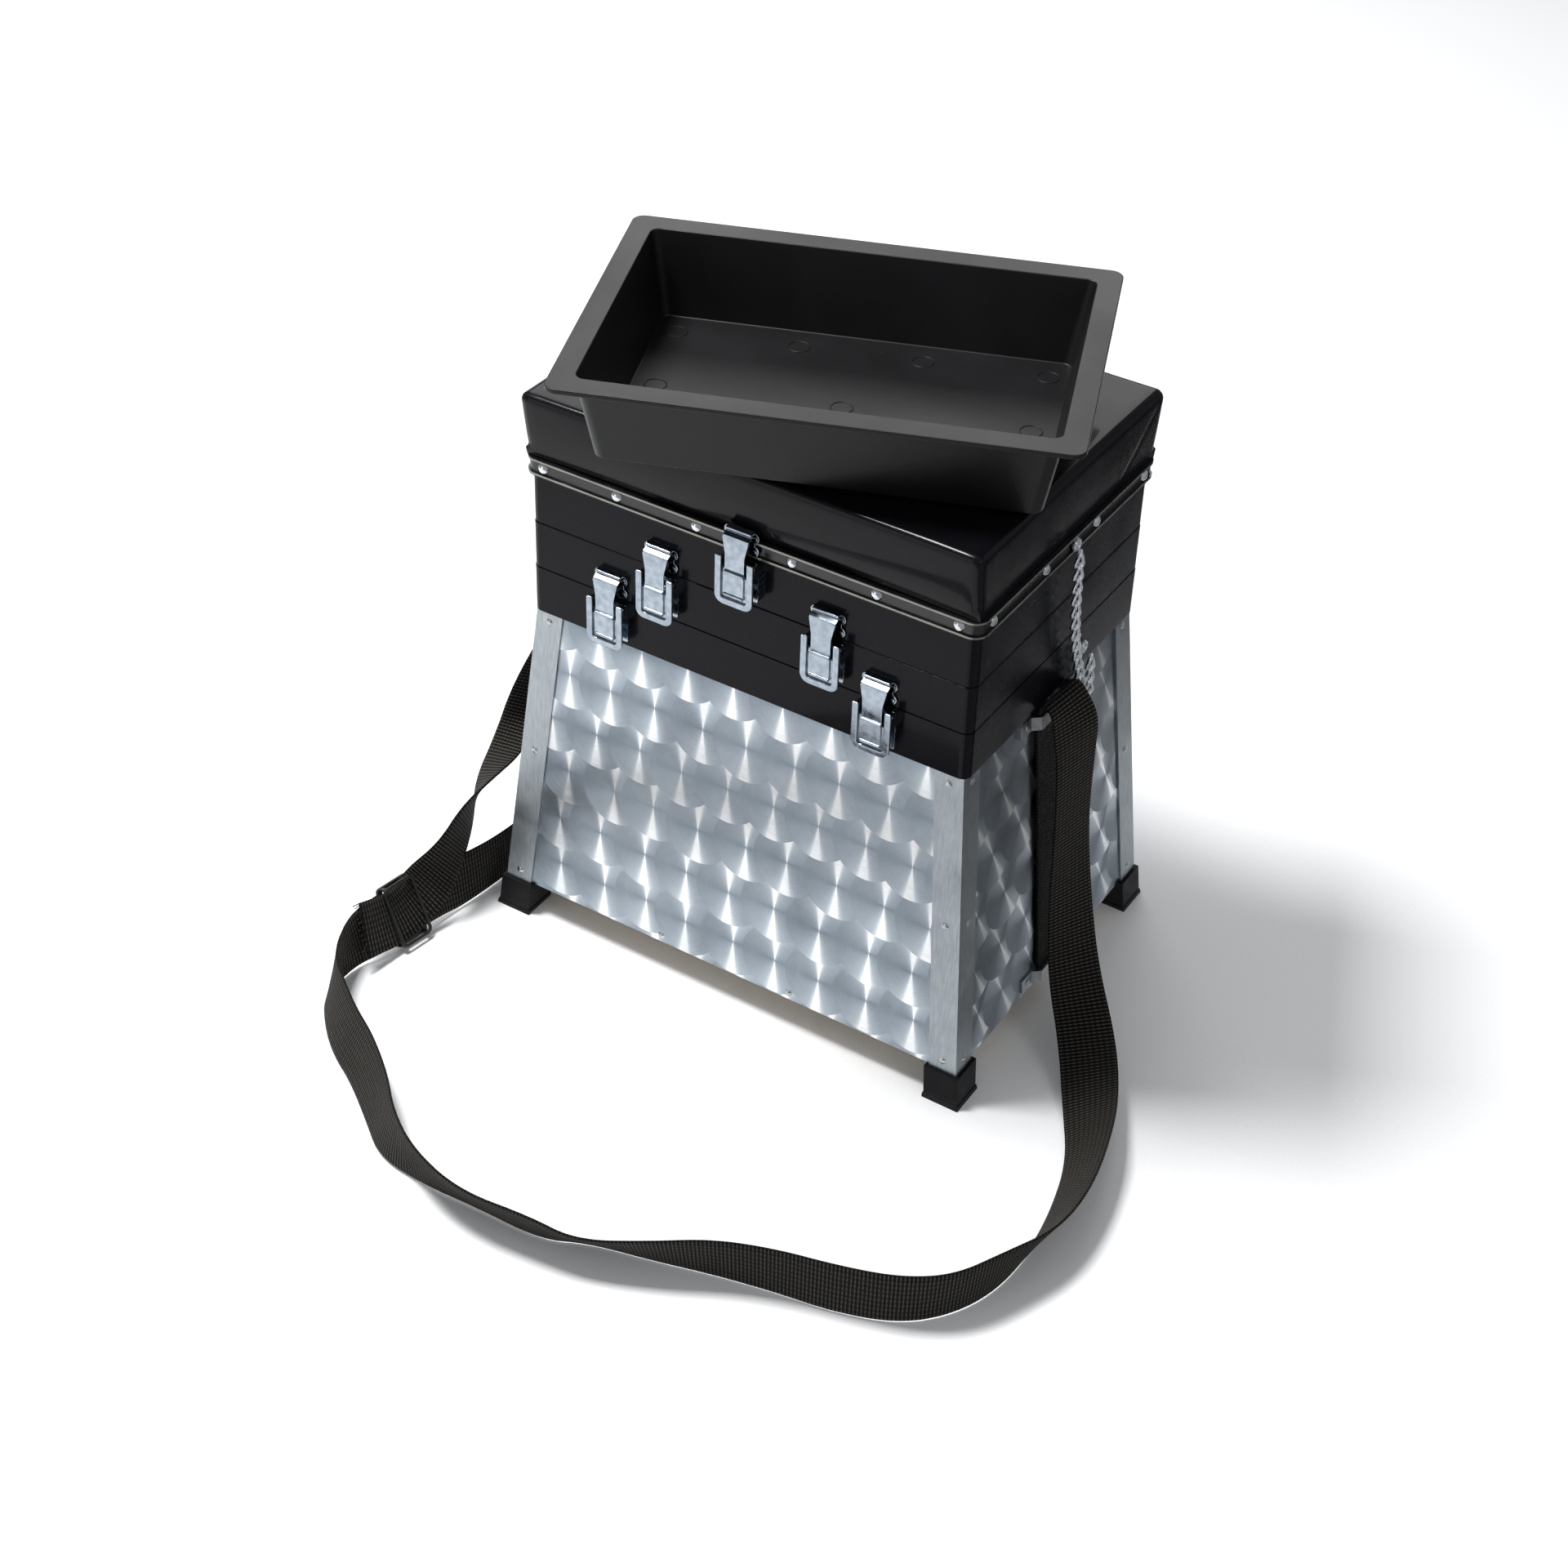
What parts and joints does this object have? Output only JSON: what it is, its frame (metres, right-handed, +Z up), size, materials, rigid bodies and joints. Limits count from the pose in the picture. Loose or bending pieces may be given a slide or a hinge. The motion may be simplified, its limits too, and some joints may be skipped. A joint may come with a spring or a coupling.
{
  "type": "fishing seat box",
  "caption": "Portable seat box: tapered swirl-finished aluminium bin on rubber feet, hinged tackle tiers, padded lid, toggle latches, carrying strap and a loose bait tray on top.",
  "frame": {"origin": "on the ground, under the middle of the box with its tray (strap left out)", "axes": "+Z up; the latches face -Y; +X to the right as seen from the front; metres"},
  "size_m": [0.656, 0.6489, 0.5823],
  "materials": {
    "turned_aluminium": "engine-turned sheet with overlapping round swirls",
    "plywood": "plain plywood",
    "lid_plywood": "plain plywood",
    "mill_aluminium": "mill finish extrusion, light scuffs",
    "foot_rubber": "smooth black",
    "rivet_aluminium": "bright domed rivets",
    "rivet_steel": "bright zinc",
    "loop_steel": "bright zinc strip",
    "case_plastic": "fine-grained black",
    "chain_steel": "nickel wire",
    "hinge_steel": "bright zinc",
    "latch_steel": "nickel-plated pressing",
    "trim": "dark band with thin light beads",
    "nail_nickel": "domed nickel nails",
    "seat_vinyl": "smooth black vinyl over foam",
    "tray_plastic": "satin moulded plastic",
    "webbing": "ribbed black polypropylene webbing",
    "buckle_plastic": "black moulded slide"
  },
  "bodies": {
    "case": {"front_panel": "turned_aluminium", "back_panel": "turned_aluminium", "left_panel": "turned_aluminium", "right_panel": "turned_aluminium", "base_board": "plywood", "corner_angle_front_left": "mill_aluminium", "corner_angle_front_right": "mill_aluminium", "corner_angle_back_left": "mill_aluminium", "corner_angle_back_right": "mill_aluminium", "foot_front_left": "foot_rubber", "foot_front_right": "foot_rubber", "foot_back_left": "foot_rubber", "foot_back_right": "foot_rubber", "bin_rivets": "rivet_aluminium", "strap_loop_left_bottom": "loop_steel", "strap_loop_left_top": "loop_steel", "strap_loop_right_bottom": "loop_steel", "strap_loop_right_top": "loop_steel", "strap_loop_rivets": "rivet_steel", "collar": "case_plastic", "chain_eye_collar": "chain_steel", "stay_chain": "chain_steel", "lower_hinge_lower_leaves": "hinge_steel", "lower_hinge_pins": "hinge_steel", "lower_tier_latch_bases": "latch_steel", "carry_strap": "webbing", "side_strap": "webbing", "strap_buckle": "buckle_plastic"},
    "lower_tier": {"lower_tier": "case_plastic", "lower_hinge_upper_leaves": "hinge_steel", "middle_hinge_lower_leaves": "hinge_steel", "middle_hinge_pins": "hinge_steel", "lower_tier_latch_keepers": "latch_steel", "upper_tier_latch_bases": "latch_steel"},
    "upper_tier": {"upper_tier": "case_plastic", "middle_hinge_upper_leaves": "hinge_steel", "lid_hinge_lower_leaves": "hinge_steel", "lid_hinge_pins": "hinge_steel", "upper_tier_latch_keepers": "latch_steel", "lid_latch_bases": "latch_steel"},
    "lid": {"lid_board": "lid_plywood", "trim_band": "trim", "trim_band_rivets": "nail_nickel", "seat_cushion": "seat_vinyl", "lid_hinge_upper_leaves": "hinge_steel", "chain_eye_lid": "chain_steel", "lid_latch_keepers": "latch_steel"},
    "tray": {"loose_tray": "tray_plastic"},
    "lid_latch_lever_centre": {"lid_latch_lever_centre": "latch_steel"},
    "lid_latch_draw_plate_centre": {"lid_latch_draw_plate_centre": "latch_steel"},
    "upper_tier_latch_lever_left": {"upper_tier_latch_lever_left": "latch_steel"},
    "upper_tier_latch_draw_plate_left": {"upper_tier_latch_draw_plate_left": "latch_steel"},
    "upper_tier_latch_lever_right": {"upper_tier_latch_lever_right": "latch_steel"},
    "upper_tier_latch_draw_plate_right": {"upper_tier_latch_draw_plate_right": "latch_steel"},
    "lower_tier_latch_lever_left": {"lower_tier_latch_lever_left": "latch_steel"},
    "lower_tier_latch_draw_plate_left": {"lower_tier_latch_draw_plate_left": "latch_steel"},
    "lower_tier_latch_lever_right": {"lower_tier_latch_lever_right": "latch_steel"},
    "lower_tier_latch_draw_plate_right": {"lower_tier_latch_draw_plate_right": "latch_steel"}
  },
  "joints": [
    {"name": "lower_tier_hinge", "type": "hinge", "parent": "case", "child": "lower_tier", "pos_m": [-0.0076, 0.1736, 0.3479], "axis": [-1, 0, 0], "range_deg": [0, 50]},
    {"name": "upper_tier_hinge", "type": "hinge", "parent": "lower_tier", "child": "upper_tier", "pos_m": [-0.0076, 0.1736, 0.3899], "axis": [-1, 0, 0], "range_deg": [0, 50]},
    {"name": "lid_hinge", "type": "hinge", "parent": "upper_tier", "child": "lid", "pos_m": [-0.0076, 0.1772, 0.4353], "axis": [-1, 0, 0], "range_deg": [0, 75]},
    {"name": "tray_lift", "type": "slide", "parent": "lid", "child": "tray", "axis": [0, 0, 1], "range_m": [0, 0.06]},
    {"name": "lid_latch_lever_centre_pivot", "type": "hinge", "parent": "upper_tier", "child": "lid_latch_lever_centre", "pos_m": [-0.0076, -0.1184, 0.4305], "axis": [-1, 0, 0], "range_deg": [0, 90]},
    {"name": "lid_latch_draw_plate_centre_pin", "type": "hinge", "parent": "lid_latch_lever_centre", "child": "lid_latch_draw_plate_centre", "pos_m": [-0.0076, -0.1154, 0.4225], "axis": [-1, 0, 0], "range_deg": [-90, 0]},
    {"name": "upper_tier_latch_lever_left_pivot", "type": "hinge", "parent": "lower_tier", "child": "upper_tier_latch_lever_left", "pos_m": [-0.0826, -0.1145, 0.3851], "axis": [-1, 0, 0], "range_deg": [0, 90]},
    {"name": "upper_tier_latch_draw_plate_left_pin", "type": "hinge", "parent": "upper_tier_latch_lever_left", "child": "upper_tier_latch_draw_plate_left", "pos_m": [-0.0826, -0.1115, 0.3771], "axis": [-1, 0, 0], "range_deg": [-90, 0]},
    {"name": "upper_tier_latch_lever_right_pivot", "type": "hinge", "parent": "lower_tier", "child": "upper_tier_latch_lever_right", "pos_m": [0.06739, -0.1145, 0.3851], "axis": [-1, 0, 0], "range_deg": [0, 90]},
    {"name": "upper_tier_latch_draw_plate_right_pin", "type": "hinge", "parent": "upper_tier_latch_lever_right", "child": "upper_tier_latch_draw_plate_right", "pos_m": [0.06739, -0.1115, 0.3771], "axis": [-1, 0, 0], "range_deg": [-90, 0]},
    {"name": "lower_tier_latch_lever_left_pivot", "type": "hinge", "parent": "case", "child": "lower_tier_latch_lever_left", "pos_m": [-0.1296, -0.1148, 0.3431], "axis": [-1, 0, 0], "range_deg": [0, 90]},
    {"name": "lower_tier_latch_draw_plate_left_pin", "type": "hinge", "parent": "lower_tier_latch_lever_left", "child": "lower_tier_latch_draw_plate_left", "pos_m": [-0.1296, -0.1118, 0.3351], "axis": [-1, 0, 0], "range_deg": [-90, 0]},
    {"name": "lower_tier_latch_lever_right_pivot", "type": "hinge", "parent": "case", "child": "lower_tier_latch_lever_right", "pos_m": [0.11439, -0.1148, 0.3431], "axis": [-1, 0, 0], "range_deg": [0, 90]},
    {"name": "lower_tier_latch_draw_plate_right_pin", "type": "hinge", "parent": "lower_tier_latch_lever_right", "child": "lower_tier_latch_draw_plate_right", "pos_m": [0.11439, -0.1118, 0.3351], "axis": [-1, 0, 0], "range_deg": [-90, 0]}
  ],
  "couplings": [
    {"joint": "lid_latch_draw_plate_centre_pin", "follows": "lid_latch_lever_centre_pivot", "ratio": -1},
    {"joint": "upper_tier_latch_draw_plate_left_pin", "follows": "upper_tier_latch_lever_left_pivot", "ratio": -1},
    {"joint": "upper_tier_latch_draw_plate_right_pin", "follows": "upper_tier_latch_lever_right_pivot", "ratio": -1},
    {"joint": "lower_tier_latch_draw_plate_left_pin", "follows": "lower_tier_latch_lever_left_pivot", "ratio": -1},
    {"joint": "lower_tier_latch_draw_plate_right_pin", "follows": "lower_tier_latch_lever_right_pivot", "ratio": -1}
  ]
}
